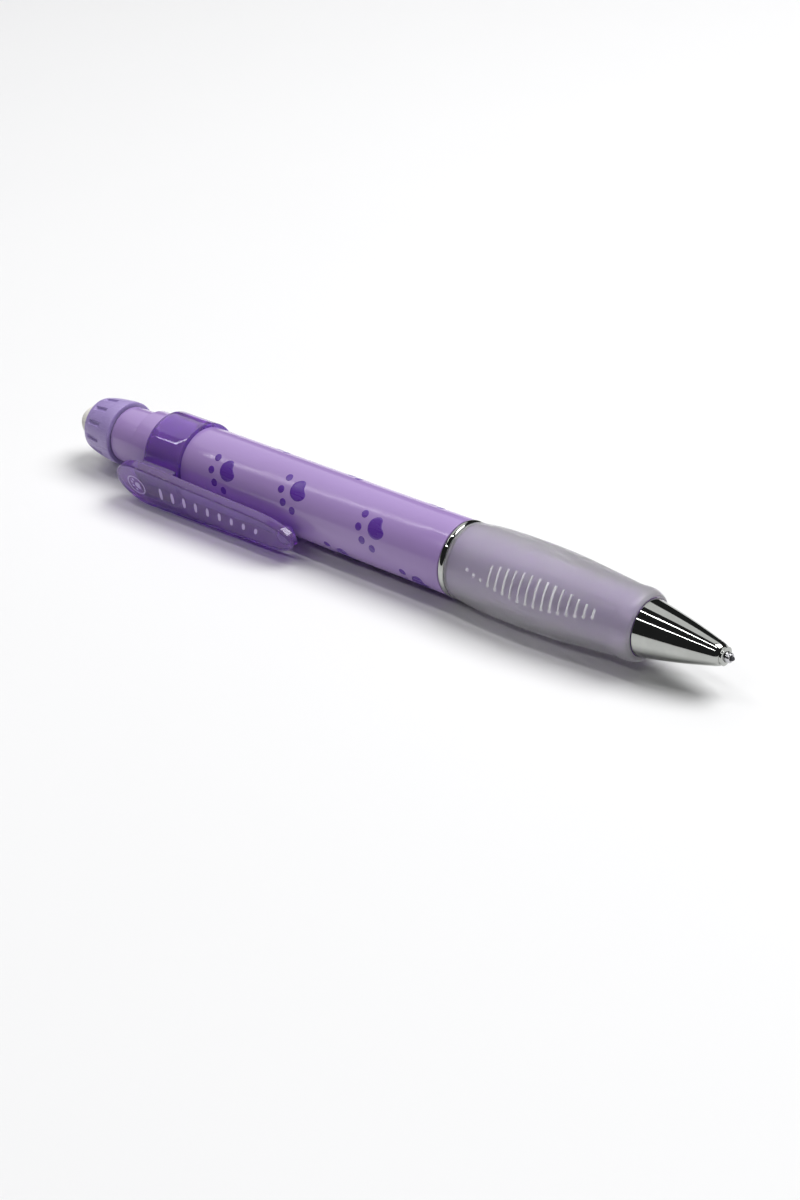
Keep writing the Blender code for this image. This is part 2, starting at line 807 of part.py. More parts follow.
def add_clip_arm(clip_hinge, materials):
    """The springy arm: a shallow channel with a round foot under its tip."""
    rear = clip_split + play
    shift = Matrix.Translation(-clip_hinge.location)
    plate = clip_plate_mesh("clip_arm", rear, clip_front, clip_underside, clip_face_height)
    plate.transform(shift)
    arm = add_object("clip_arm", plate, clip_hinge, materials["violet"])
    round_edges(arm)
    ends = (rear + 1.2 * mm, clip_front - clip_wall)
    heights = (clip_underside - mm, clip_face_height - clip_skin)
    hollow = clip_plate_mesh("clip_hollow", *ends, *heights, inset=clip_wall)
    hollow.transform(shift)
    boolean(arm, add_object("clip_hollow", hollow, clip_hinge), "DIFFERENCE")
    bm = bmesh.new()
    bmesh.ops.create_uvsphere(bm, u_segments=16, v_segments=8, radius=clip_foot_radius)
    height = barrel_radius + play + clip_foot_radius
    bmesh.ops.translate(bm, vec=(height, 0, clip_front - clip_foot_setback), verts=bm.verts)
    foot_mesh = mesh_from(bm, "clip_foot")
    foot_mesh.transform(shift)
    boolean(arm, add_object("clip_foot", foot_mesh, clip_hinge), "UNION")
    return arm


def clip_lean():
    """The clip's angle from straight down, with its rounded lower edge on the table."""
    height = clip_face_height - clip_edge_round
    side = clip_half_width - clip_edge_round
    drop = grip_radius - clip_edge_round
    return math.atan2(side, height) + math.acos(drop / math.hypot(height, side))


# ---------------------------------------------------------------- assembly


def make_materials():
    return {
        "lilac": new_material("lilac_plastic", (0.36, 0.24, 0.62), 0.25),
        "violet": new_material("violet_plastic", (0.14, 0.05, 0.38), 0.15, transmission=0.5),
        "frost": new_material("frosted_rubber", (0.62, 0.58, 0.66), 0.55),
        "chrome": new_material("chrome_plate", (0.8, 0.8, 0.82), 0.06, metallic=1.0),
        "steel": new_material("bright_steel", (0.6, 0.6, 0.62), 0.25, metallic=1.0),
        "brass": new_material("turned_brass", (0.75, 0.55, 0.22), 0.3, metallic=1.0),
        "white_plastic": new_material("white_plastic", (0.85, 0.85, 0.83), 0.4),
        "black_rubber": new_material("black_rubber", (0.03, 0.03, 0.03), 0.7),
        "eraser_rubber": new_material("eraser_rubber", (0.86, 0.84, 0.78), 0.8),
        "graphite": new_material("graphite", (0.08, 0.08, 0.09), 0.35, metallic=0.3),
    }


def shade_round_pieces():
    for obj in parts.objects:
        if obj.type == "MESH":
            obj.data.shade_smooth()
            obj.data.set_sharp_from_angle(angle=math.radians(35))


def stand_on_origin(axis):
    """Moves the whole pencil so that its box stands on the origin."""
    bpy.context.view_layer.update()
    graph = bpy.context.evaluated_depsgraph_get()
    corners = []
    for obj in parts.objects:
        if obj.type == "MESH":
            evaluated = obj.evaluated_get(graph)
            corners += [evaluated.matrix_world @ vertex.co for vertex in evaluated.data.vertices]
    low = [min(corner[k] for corner in corners) for k in range(3)]
    high = [max(corner[k] for corner in corners) for k in range(3)]
    axis.location -= Vector(((low[0] + high[0]) / 2, (low[1] + high[1]) / 2, low[2]))


def build():
    materials = make_materials()
    # Local Z of the pencil's axis lies along world X, and its local X points straight down.
    axis = new_empty("pencil_axis", rotation=(0, math.pi / 2, 0))
    clip_axis = new_empty("clip_axis", axis, rotation=(0, 0, -clip_lean()))
    hinge_height = (clip_face_height + clip_underside) / 2
    clip_hinge = new_empty("clip_hinge", clip_axis, location=(hinge_height, 0, clip_split))
    add_barrel(axis, materials)
    add_trim_ring(axis, materials)
    add_grip_sleeve(axis, materials)
    add_nose_cone(axis, materials)
    add_lead_guide(axis, materials)
    add_lead_retainer(axis, materials)
    add_chuck_bush(axis, materials)
    add_chuck_spring(axis, materials)
    add_chuck(axis, materials)
    add_clutch_ring(axis, materials)
    add_chuck_connector(axis, materials)
    add_lead_tube(axis, materials)
    add_leads(axis, materials)
    add_push_sleeve(axis, materials)
    add_twist_knob(axis, materials)
    add_spiral_tube(axis, materials)
    add_eraser_carrier(axis, materials)
    add_eraser(axis, materials)
    add_clip_collar(axis, clip_axis, materials)
    add_clip_arm(clip_hinge, materials)
    shade_round_pieces()
    stand_on_origin(axis)


clear_scene()
parts = new_collection("mechanical_pencil")
cutters = new_collection("cutters")
build()
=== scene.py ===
"""The looks of a push-button mechanical pencil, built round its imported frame.

Lengths are in metres. x runs along the pencil from the eraser to the lead. Round pieces are drawn
about the pencil's axis. An angle round it is in degrees from straight down, growing over the
clip's side to the top.
"""

import json
import math

import bmesh
import bpy
from mathutils import Matrix, Vector


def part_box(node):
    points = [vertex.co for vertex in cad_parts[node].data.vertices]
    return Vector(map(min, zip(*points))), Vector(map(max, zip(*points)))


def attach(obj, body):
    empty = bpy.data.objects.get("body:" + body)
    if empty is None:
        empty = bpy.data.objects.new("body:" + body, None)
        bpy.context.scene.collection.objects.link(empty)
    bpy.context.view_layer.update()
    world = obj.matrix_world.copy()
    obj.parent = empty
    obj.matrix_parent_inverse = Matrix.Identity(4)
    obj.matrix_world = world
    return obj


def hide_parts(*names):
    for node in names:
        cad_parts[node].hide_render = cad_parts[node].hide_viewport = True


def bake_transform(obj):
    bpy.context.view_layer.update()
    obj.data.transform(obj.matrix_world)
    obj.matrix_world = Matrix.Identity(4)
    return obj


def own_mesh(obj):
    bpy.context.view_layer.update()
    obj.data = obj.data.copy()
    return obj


mm = 0.001

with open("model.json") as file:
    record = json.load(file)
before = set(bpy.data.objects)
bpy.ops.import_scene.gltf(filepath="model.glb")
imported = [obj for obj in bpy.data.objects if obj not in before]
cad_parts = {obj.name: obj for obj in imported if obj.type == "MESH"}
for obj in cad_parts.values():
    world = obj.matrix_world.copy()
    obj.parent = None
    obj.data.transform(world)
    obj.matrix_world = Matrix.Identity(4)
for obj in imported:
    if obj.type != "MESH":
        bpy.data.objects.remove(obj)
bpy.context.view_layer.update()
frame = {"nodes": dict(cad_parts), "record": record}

# ---------------------------------------------------------------- places taken from the frame


def ends(node):
    """Where a node starts and ends along the pencil."""
    low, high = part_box(node)
    return low.x, high.x


def width(node):
    """The largest radius of a round node."""
    low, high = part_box(node)
    return (high.y - low.y) / 2


lead_low, lead_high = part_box("lead")
axis_y = (lead_low.y + lead_high.y) / 2
axis_z = (lead_low.z + lead_high.z) / 2
clip_mount = next(m for m in frame["record"]["mounts"] if m["name"] == "clip_outer_face")
clip_out = Vector(clip_mount["axis"]).normalized()
clip_face = (Vector(clip_mount["pos_m"]) - Vector((0, axis_y, axis_z))).dot(clip_out)

seam = 0.07 * mm  # between two pieces that sit on each other
slide = 0.25 * mm  # between two pieces with a visible gap

neck_rear, spigot_front = ends("barrel")
ring_rear, ring_front = ends("trim_ring")
grip_rear, grip_front = ends("grip_sleeve")
cone_rear, cone_front = ends("nose_cone")
knob_rear, knob_front = ends("twist_knob")
collar_front = ends("clip_arm")[0] - 1.1 * mm
collar_rear = collar_front - 8.4 * mm
shoulder = collar_front + 0.3 * mm
barrel_front = ring_rear - slide
core_rear = barrel_front + 0.1 * mm

barrel_radius = width("barrel")
ring_radius = width("trim_ring")
knob_radius = width("twist_knob")
eraser_radius = width("eraser")
lead_radius = width("lead")
guide_radius = width("lead_guide")
neck_radius = 5.95 * mm
barrel_bore = 5.4 * mm
sleeve_radius = 5.15 * mm
sleeve_bore = 4.65 * mm
core_rear_radius = 5.35 * mm
core_front_radius = 4.7 * mm
collar_radius = 7.07 * mm

# ---------------------------------------------------------------- mesh helpers

on_axis = 1e-7  # a smaller radius than this is a point on the axis
longest_wall = 6 * mm


def about(x, radius, angle):
    """The point at that radius and angle round the pencil's axis."""
    turn = math.radians(angle)
    return Vector((x, axis_y - radius * math.sin(turn), axis_z - radius * math.cos(turn)))


def eased(points, edge, steps=4, closed=False):
    """The line through the points, its corners rounded off over that length."""
    most = 0.45  # of a side is used up by the rounding at either end of it
    points = [Vector(point) for point in points]
    count = len(points)
    soft = [] if closed else [points[0]]
    for index in range(0 if closed else 1, count if closed else count - 1):
        before, corner, after = points[index - 1], points[index], points[(index + 1) % count]
        back, ahead = before - corner, after - corner
        start = corner + back.normalized() * min(edge, most * back.length)
        end = corner + ahead.normalized() * min(edge, most * ahead.length)
        for step in range(steps + 1):
            share = step / steps
            soft.append(start.lerp(corner, share).lerp(corner.lerp(end, share), share))
    return soft if closed else [*soft, points[-1]]


def divided(points, longest, closed=False):
    """The same line with no stretch longer than that."""
    fine = []
    following = points[1:] + (points[:1] if closed else [])
    for first, second in zip(points, following):
        count = max(1, math.ceil((Vector(second) - Vector(first)).length / longest))
        fine += [Vector(first).lerp(Vector(second), step / count) for step in range(count)]
    return fine if closed else [*fine, Vector(points[-1])]


def divided_where(points, longest, radius):
    """A closed outline divided only where it is further than that radius from the axis."""
    fine = []
    for first, second in zip(points, points[1:] + points[:1]):
        far = min(first.y, second.y) > radius
        fine += divided([first, second], longest)[:-1] if far else [first]
    return fine


def placed(name, data):
    """A new object in the scene."""
    obj = bpy.data.objects.new(name, data)
    bpy.context.scene.collection.objects.link(obj)
    return obj


def object_of(bm, name, finish, sharp=35):
    """A new object from the mesh being built, smooth but for edges sharper than that angle."""
    bmesh.ops.recalc_face_normals(bm, faces=bm.faces)
    mesh = bpy.data.meshes.new(name)
    bm.to_mesh(mesh)
    bm.free()
    mesh.shade_smooth()
    mesh.set_sharp_from_angle(angle=math.radians(sharp))
    obj = placed(name, mesh)
    obj.data.materials.append(finish)
    return obj


def lathe(name, outline, finish, segments=144, relief=None):
    """A solid turned about the pencil's axis.

    outline is a closed loop of (x, radius), or a line from axis to axis. relief(x, radius, angle)
    is added to each point's radius.
    """
    bm = bmesh.new()
    rings = []
    for x, radius in outline:
        if radius < on_axis:
            rings.append([bm.verts.new(about(x, 0, 0))])
            continue
        ring = []
        for step in range(segments):
            angle = 360 * step / segments
            rise = relief(x, radius, angle) if relief else 0
            ring.append(bm.verts.new(about(x, radius + rise, angle)))
        rings.append(ring)
    solid = len(rings[0]) == 1
    for first, second in zip(rings, rings[1:] if solid else rings[1:] + rings[:1]):
        for step in range(segments):
            ahead = step + 1
            corners = []
            for ring, index in ((first, step), (first, ahead), (second, ahead), (second, step)):
                vert = ring[index % len(ring)]
                if vert not in corners:
                    corners.append(vert)
            bm.faces.new(corners)
    return object_of(bm, name, finish)


def baked(obj, name, finish):
    """A new object holding what obj's modifiers make, with obj and its cutters removed."""
    cutters = [modifier.object for modifier in obj.modifiers if modifier.type == "BOOLEAN"]
    bpy.context.view_layer.update()
    result = obj.evaluated_get(bpy.context.evaluated_depsgraph_get())
    mesh = bpy.data.meshes.new_from_object(result)
    for used in [obj, *cutters]:
        bpy.data.objects.remove(used, do_unlink=True)
    mesh.name = name
    mesh.materials.clear()
    mesh.materials.append(finish)
    mesh.shade_smooth()
    mesh.set_sharp_from_angle(angle=math.radians(30))
    return placed(name, mesh)


def boolean(obj, other, operation):
    modifier = obj.modifiers.new(other.name, "BOOLEAN")
    modifier.operation = operation
    modifier.solver = "EXACT"
    modifier.object = other


def spline_loop(points, per_point):
    """A smooth closed line through the points."""
    count = len(points)
    line = []
    for index in range(count):
        p0, p1, p2, p3 = (Vector(points[(index + k) % count]) for k in (-1, 0, 1, 2))
        for step in range(per_point):
            t = step / per_point
            square = (2 * p0 - 5 * p1 + 4 * p2 - p3) * t**2
            cube = (3 * p1 - p0 - 3 * p2 + p3) * t**3
            line.append(0.5 * (2 * p1 + (p2 - p0) * t + square + cube))
    return line


# ---------------------------------------------------------------- finishes


class Finish:
    """A Principled material whose colour, roughness and bump come from procedural layers.

    The layers are laid in the piece's own metres.
    """

    def __init__(self, name, **settings):
        self.material = bpy.data.materials.new(name)
        self.material.use_nodes = True
        self.nodes = self.material.node_tree.nodes
        self.links = self.material.node_tree.links
        self.shader = self.nodes["Principled BSDF"]
        for socket, value in settings.items():
            self.shader.inputs[socket.replace("_", " ")].default_value = value
        self.place = self.nodes.new("ShaderNodeTexCoord").outputs["Object"]
        self.last_bump = None

    def pattern(self, kind, sizes):
        """A texture node whose features have those sizes along x, y and z."""
        mapping = self.nodes.new("ShaderNodeMapping")
        mapping.inputs["Scale"].default_value = [1 / size for size in sizes]
        texture = self.nodes.new(kind)
        texture.inputs["Scale"].default_value = 1.0
        self.links.new(self.place, mapping.inputs["Vector"])
        self.links.new(mapping.outputs["Vector"], texture.inputs["Vector"])
        return texture

    def noise(self, size, stretch=(1, 1, 1), detail=4.0, rough=0.55):
        """Noise with features of that size, drawn out along an axis where stretch is over 1."""
        texture = self.pattern("ShaderNodeTexNoise", [size * share for share in stretch])
        texture.inputs["Detail"].default_value = detail
        texture.inputs["Roughness"].default_value = rough
        return texture.outputs["Fac"]

    def clouds(self, size, stretch=(1, 1, 1), detail=4.0, source=(0.3, 0.7)):
        """Noise spread out to run from 0 to 1."""
        return self.ranged(self.noise(size, stretch, detail), source, (0.0, 1.0))

    def spots(self, size, reach):
        """1 in small scattered spots and 0 between them."""
        texture = self.pattern("ShaderNodeTexVoronoi", [size] * 3)
        return self.ranged(texture.outputs["Distance"], (0.4 * reach, reach), (1.0, 0.0))

    def ranged(self, value, source, target):
        node = self.nodes.new("ShaderNodeMapRange")
        node.inputs["From Min"].default_value, node.inputs["From Max"].default_value = source
        node.inputs["To Min"].default_value, node.inputs["To Max"].default_value = target
        self.links.new(value, node.inputs["Value"])
        return node.outputs["Result"]

    def mixed(self, share, first, second):
        """A colour between first and second."""
        node = self.nodes.new("ShaderNodeMix")
        node.data_type = "RGBA"
        self.links.new(share, node.inputs["Factor"])
        colour_a, colour_b = node.inputs[6], node.inputs[7]
        colour_a.default_value = (*first, 1.0)
        colour_b.default_value = (*second, 1.0)
        return node.outputs[2]

    def colour(self, value):
        self.links.new(value, self.shader.inputs["Base Color"])

    def roughness(self, value, low, high):
        value = self.ranged(value, (0.3, 0.7), (low, high))
        self.links.new(value, self.shader.inputs["Roughness"])

    def bump(self, value, distance, strength):
        node = self.nodes.new("ShaderNodeBump")
        node.inputs["Distance"].default_value = distance
        node.inputs["Strength"].default_value = strength
        self.links.new(value, node.inputs["Height"])
        if self.last_bump:
            self.links.new(self.last_bump, node.inputs["Normal"])
        self.last_bump = node.outputs["Normal"]
        self.links.new(self.last_bump, self.shader.inputs["Normal"])


def moulded_plastic(name, light, dark, rough, **settings):
    """Glossy moulded plastic.

    It has a faint flow of colour, wiping marks along its length and a slight waviness.
    """
    finish = Finish(name, **settings)
    finish.colour(finish.mixed(finish.clouds(9 * mm, (2.5, 1, 1), 3), light, dark))
    finish.roughness(finish.noise(1.1 * mm, (5, 1, 1)), 0.75 * rough, 1.35 * rough)
    finish.bump(finish.noise(4 * mm, (2, 1, 1), 2), 0.02 * mm, 0.35)
    finish.bump(finish.noise(0.16 * mm, (9, 1, 1), 3), 0.002 * mm, 0.3)
    return finish.material


def plated_metal(name, light, dark, rough, brushed=0.0, stretch=(1, 1, 1)):
    """Bright metal: faint clouding, fine scratches and, where brushed, lines along stretch."""
    finish = Finish(name, Metallic=1.0)
    finish.colour(finish.mixed(finish.clouds(2.5 * mm, source=(0.35, 0.65)), light, dark))
    finish.roughness(finish.noise(0.6 * mm, stretch), 0.6 * rough, 1.5 * rough)
    finish.bump(finish.noise(0.12 * mm, stretch, 3), 0.003 * mm, 0.15 + brushed)
    return finish.material


def clear_plastic(name, tint, absorbed, per_metre, rough):
    """Clear coloured plastic, darker the deeper light goes, with flow and fine wiping marks."""
    finish = Finish(name, IOR=1.5, Transmission_Weight=0.82)
    shaded = tuple(0.95 * part for part in tint)
    finish.colour(finish.mixed(finish.clouds(6 * mm, (2.5, 1, 1), 3), tint, shaded))
    finish.roughness(finish.noise(1.1 * mm, (5, 1, 1)), 0.6 * rough, 1.5 * rough)
    finish.bump(finish.noise(3 * mm, (2, 1, 1), 2), 0.03 * mm, 0.4)
    volume = finish.nodes.new("ShaderNodeVolumeAbsorption")
    volume.inputs["Color"].default_value = (*absorbed, 1.0)
    volume.inputs["Density"].default_value = per_metre
    finish.links.new(volume.outputs["Volume"], finish.nodes["Material Output"].inputs["Volume"])
    return finish.material


def frosted_rubber(name, light, dark, clear, grain):
    """Soft milky rubber: part of the light scatters in it, and the rest goes blurred through."""
    finish = Finish(name, IOR=1.41, Transmission_Weight=clear, Subsurface_Weight=1.0)
    finish.shader.inputs["Subsurface Radius"].default_value = (1.0, 0.95, 1.0)
    finish.shader.inputs["Subsurface Scale"].default_value = 2 * mm
    finish.colour(finish.mixed(finish.clouds(5 * mm, (2, 1, 1)), light, dark))
    finish.roughness(finish.noise(0.5 * mm), 0.28, 0.42)
    finish.bump(finish.noise(grain, detail=5, rough=0.65), 0.012 * mm, 0.5)
    return finish.material


def eraser_rubber():
    """Matt eraser: chalky grain, a few pits and a little graphite rubbed into it."""
    finish = Finish("eraser_rubber", Specular_IOR_Level=0.25)
    smudge = finish.ranged(finish.noise(1.6 * mm, detail=6), (0.52, 0.7), (0.0, 0.55))
    finish.colour(finish.mixed(smudge, (0.80, 0.78, 0.72), (0.52, 0.50, 0.50)))
    finish.roughness(finish.noise(0.4 * mm), 0.7, 0.9)
    finish.bump(finish.noise(0.22 * mm, detail=6, rough=0.7), 0.03 * mm, 0.7)
    finish.bump(finish.spots(0.9 * mm, 0.25), -0.05 * mm, 0.6)
    return finish.material


def matt_piece(name, light, dark, rough, grain, **settings):
    """A plain inner material with a visible grain."""
    finish = Finish(name, **settings)
    finish.colour(finish.mixed(finish.clouds(grain, source=(0.35, 0.65)), light, dark))
    finish.roughness(finish.noise(0.5 * grain), 0.8 * rough, 1.15 * rough)
    finish.bump(finish.noise(0.3 * grain, detail=4), 0.01 * mm, 0.4)
    return finish.material


lilac = moulded_plastic(
    "lilac_plastic", (0.39, 0.266, 0.566), (0.363, 0.244, 0.529), 0.14, IOR=1.49
)
knob_lilac = moulded_plastic(
    "knob_lilac_plastic", (0.38, 0.29, 0.59), (0.35, 0.265, 0.55), 0.28, IOR=1.49
)
violet = clear_plastic("violet_plastic", (0.64, 0.38, 0.97), (0.58, 0.10, 0.80), 430, 0.06)
paw_ink = moulded_plastic("violet_ink", (0.12, 0.04, 0.34), (0.10, 0.03, 0.30), 0.26)
pale_ink = moulded_plastic("pale_ink", (0.62, 0.50, 0.80), (0.55, 0.43, 0.74), 0.35)
rubber = frosted_rubber(
    "frosted_rubber", (0.97, 0.94, 0.99), (0.93, 0.90, 0.96), 0.84, 0.18 * mm
)
rubber_rib = frosted_rubber(
    "frosted_rubber_rib", (0.97, 0.96, 0.98), (0.93, 0.92, 0.95), 0.2, 0.1 * mm
)
chrome = plated_metal("chrome_plate", (0.46, 0.47, 0.45), (0.42, 0.43, 0.41), 0.05)
steel = plated_metal("bright_steel", (0.58, 0.58, 0.60), (0.50, 0.50, 0.52), 0.22, 0.3, (6, 1, 1))
brass = plated_metal(
    "turned_brass", (0.78, 0.56, 0.24), (0.68, 0.46, 0.18), 0.25, 0.3, (0.4, 3, 3)
)
white_plastic = matt_piece(
    "white_plastic", (0.80, 0.80, 0.78), (0.74, 0.74, 0.72), 0.42, 1.5 * mm
)
black_rubber = matt_piece(
    "black_rubber", (0.035, 0.035, 0.037), (0.02, 0.02, 0.022), 0.7, 0.6 * mm
)
graphite = matt_piece(
    "graphite", (0.075, 0.075, 0.085), (0.045, 0.045, 0.05), 0.38, 0.4 * mm, Metallic=0.35
)
eraser_white = eraser_rubber()

# ---------------------------------------------------------------- barrel and its prints


def make_barrel():
    """Neck, barrel, the core under the grip and the end that the cone fits on."""
    core_front = grip_front - 0.3 * mm
    spigot = 3.6 * mm
    core_bore = 3.8 * mm
    bush_seat = 3.15 * mm
    rib_rear = collar_rear - 0.8 * mm
    rib_radius = neck_radius + 0.2 * mm
    barrel_rear = shoulder - 0.2 * mm
    bush_rear = ends("chuck_bush")[0]
    outer = [
        (neck_rear, neck_radius),
        (rib_rear, neck_radius),
        (rib_rear + 0.25 * mm, rib_radius),
        (collar_rear - seam, rib_radius),
        (collar_rear - seam, neck_radius),
        (barrel_rear, neck_radius),
        (barrel_rear, barrel_radius),
        (core_rear, barrel_radius),
        (core_rear, core_rear_radius),
        (core_front, core_front_radius),
        (core_front, spigot),
        (spigot_front, spigot),
    ]
    inner = [
        (spigot_front, bush_seat),
        (bush_rear - 0.6 * mm, bush_seat),
        (bush_rear - mm, core_bore),
        (barrel_front - 0.2 * mm, core_bore),
        (barrel_front - 1.4 * mm, barrel_bore),
        (neck_rear, barrel_bore),
    ]
    outline = eased(outer + inner, 0.14 * mm, closed=True)
    barrel = lathe("barrel_moulding", divided(outline, longest_wall, True), lilac, 180)
    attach(barrel, "pen_body")
    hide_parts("barrel")


def add_print(bm, x, angle, outline, radius, rise):
    """A closed film of ink on a round surface. outline lists (along, around) from its middle."""
    depth = 0.05 * mm
    levels = ((0.35, rise), (0.75, 0.95 * rise), (0.93, 0.7 * rise), (1.0, -depth))

    def point(along, around, height):
        turned_to = angle - math.degrees(around / radius)
        return bm.verts.new(about(x + along, radius + height, turned_to))

    top = point(0, 0, rise)
    rings = [
        [point(along * share, around * share, height) for along, around in outline]
        for share, height in levels
    ]
    bottom = point(0, 0, -depth)
    count = len(outline)
    for step in range(count):
        ahead = (step + 1) % count
        bm.faces.new((top, rings[0][step], rings[0][ahead]))
        bm.faces.new((bottom, rings[-1][ahead], rings[-1][step]))
        for inside, outside in zip(rings, rings[1:]):
            bm.faces.new((inside[step], outside[step], outside[ahead], inside[ahead]))


def circle(radius, count=24):
    turns = [2 * math.pi * step / count for step in range(count)]
    return [(radius * math.cos(turn), radius * math.sin(turn)) for turn in turns]


def pad_outline(size):
    """A paw's pad: rounded towards the toes, which point along -x, a little hollowed behind."""
    half = [(-1.85, 0), (-1.72, 0.6), (-1.5, 1.05), (-0.92, 1.67), (-0.1, 1.95), (0.7, 1.92)]
    half += [(1.2, 1.65), (1.44, 1.2), (1.36, 0.7), (1.23, 0.3), (1.19, 0)]
    points = half + [(along, -around) for along, around in reversed(half[1:-1])]
    return [point * size for point in spline_loop(points, 3)]


def toe_places(size):
    """Where a paw's four toes are from the middle of its pad."""
    places = []
    for reach, degrees in ((3.6, 56.5), (3.7, 18.0)):
        for sign in (-1, 1):
            turn = sign * math.radians(degrees)
            places.append(Vector((-reach * math.cos(turn), reach * math.sin(turn))) * size)
    return places


def turned(points, angle):
    turn = Matrix.Rotation(math.radians(angle), 2)
    return [turn @ Vector(point) for point in points]


def make_paw_prints():
    """Paws printed in rows along the barrel, all leaning the same way."""
    lean = -29.0
    rise = 0.028 * mm
    pad = turned(pad_outline(mm), lean)
    toes = turned(toe_places(mm), lean)
    toe = circle(0.72 * mm)
    rows = [  # millimetres from the barrel's front, and the angle round it
        [(-47.65, 126.5), (-31.5, 136.0), (-13.5, 124.0)],
        [(-38.9, 52.0), (-21.4, 50.0), (-4.6, 54.0)],
        [(-40.9, 240.0), (-23.9, 236.0), (-6.4, 241.0)],
        [(-47.4, 325.0), (-31.5, 317.0), (-13.4, 327.0)],
    ]
    bm = bmesh.new()
    for row in rows:
        for from_front, angle in row:
            x = barrel_front + from_front * mm
            add_print(bm, x, angle, pad, barrel_radius, rise)
            for along, around in toes:
                toe_angle = angle - math.degrees(around / barrel_radius)
                add_print(bm, x + along, toe_angle, toe, barrel_radius, rise)
    prints = object_of(bm, "paw_prints", paw_ink, 60)
    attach(prints, "pen_body")


def make_trim_ring():
    """A slim ring with a rounded crown between the barrel and the grip."""
    bore = core_rear_radius + seam
    rear, front = core_rear + seam, ring_front + 0.12 * mm
    middle, reach = (rear + front) / 2, (front - rear) / 2
    swell, sunk = 0.34, 0.29  # millimetres
    steps = 12
    outline = []
    for step in range(steps + 1):
        turn = math.pi * step / steps
        radius = ring_radius + (swell * math.sin(turn) - sunk) * mm
        outline.append(Vector((middle - reach * math.cos(turn), radius)))
    outline += [Vector((front, bore)), Vector((rear, bore))]
    ring = lathe("trim_ring_plated", divided(outline, mm, True), chrome, 180)
    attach(ring, "pen_body")
    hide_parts("trim_ring")


# ---------------------------------------------------------------- grip


def swept(shape, start, length, longest):
    """A smooth outline of (x, radius) through shape, which lists (share of length, radius)."""
    outline = []
    befores, afters = [shape[0], *shape], [*shape[2:], shape[-1]]
    for first, second, third, fourth in zip(befores, shape, shape[1:], afters):
        span = third[0] - second[0]
        p0, p1, p2, p3 = first[1], second[1], third[1], fourth[1]
        slope_in = (p2 - p0) / (third[0] - first[0]) * span
        slope_out = (p3 - p1) / (fourth[0] - second[0]) * span
        steps = max(2, math.ceil(span * length / longest))
        for step in range(steps):
            t = step / steps
            radius = (
                (2 * t**3 - 3 * t**2 + 1) * p1
                + (t**3 - 2 * t**2 + t) * slope_in
                + (3 * t**2 - 2 * t**3) * p2
                + (t**3 - t**2) * slope_out
            )
            outline.append((start + (second[0] + span * t) * length, radius))
    share, radius = shape[-1]
    return [*outline, (start + share * length, radius)]


def make_grip():
    """The frosted sleeve, with a leaf-shaped panel of fine ribs on two sides."""
    swell = width("grip_sleeve")
    waist = 5.83 * mm
    shape = [
        (-0.004, barrel_radius - 0.35 * mm),
        (0.0, barrel_radius - 0.1 * mm),
        (0.006, barrel_radius),
        (0.013, barrel_radius - 0.01 * mm),
        (0.017, barrel_radius - 0.09 * mm),
        (0.022, barrel_radius),
        (0.045, barrel_radius + 0.12 * mm),
        (0.12, barrel_radius + 0.42 * mm),
        (0.22, swell - 0.06 * mm),
        (0.34, swell),
        (0.46, swell - 0.05 * mm),
        (0.58, waist + 0.8 * (swell - waist)),
        (0.7, waist + 0.5 * (swell - waist)),
        (0.82, waist + 0.2 * (swell - waist)),
        (0.9, waist),
        (0.935, waist + 0.1 * mm),
        (0.965, waist + 0.02 * mm),
        (0.99, waist - 0.3 * mm),
        (1.002, waist - 0.75 * mm),
    ]
    outer = swept(shape, grip_rear, grip_front - grip_rear, 0.11 * mm)
    room = 0.12 * mm
    inner = [(grip_front, core_front_radius + room), (grip_rear, core_rear_radius + room)]

    rib_pitch = 1.5 * mm
    first_rib = ring_front + 5.2 * mm
    last_number = 16
    last_rib = first_rib + last_number * rib_pitch
    dots_alone = 3  # at the panel's rear end, before the first whole rib
    panel_angle = 119.0
    panel_half = 19.0
    rib_height = 0.15 * mm
    rib_half = 0.2 * mm
    dot_radius = 0.32 * mm

    def ribs(x, radius, angle):
        if radius < waist - 0.2 * mm or not first_rib - mm < x < last_rib + mm:
            return 0.0
        number = min(last_number, max(0, round((x - first_rib) / rib_pitch)))
        away = abs(x - first_rib - number * rib_pitch)
        reach = panel_half * math.sin(math.pi * (0.03 + 0.9 * number / last_number)) ** 0.75
        off = (angle - panel_angle + 90) % 180 - 90
        on_rib = number >= dots_alone and abs(off) < reach
        rib = max(0.0, 1 - (away / rib_half) ** 2) if on_rib else 0.0
        from_dot = math.hypot(away, math.radians(off + reach) * radius)
        dot = 1.2 * max(0.0, 1 - (from_dot / dot_radius) ** 2)
        return rib_height * max(rib, dot)

    grip = lathe("grip_moulding", outer + inner, rubber, 288, ribs)
    grip.data.materials.append(rubber_rib)
    for face in grip.data.polygons:
        x, y, z = face.center
        radius = math.hypot(y - axis_y, z - axis_z)
        angle = math.degrees(math.atan2(axis_y - y, axis_z - z)) % 360
        if ribs(x, radius, angle) > 0.3 * rib_height:
            face.material_index = 1
    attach(grip, "pen_body")
    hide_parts("grip_sleeve")


# ---------------------------------------------------------------- nose


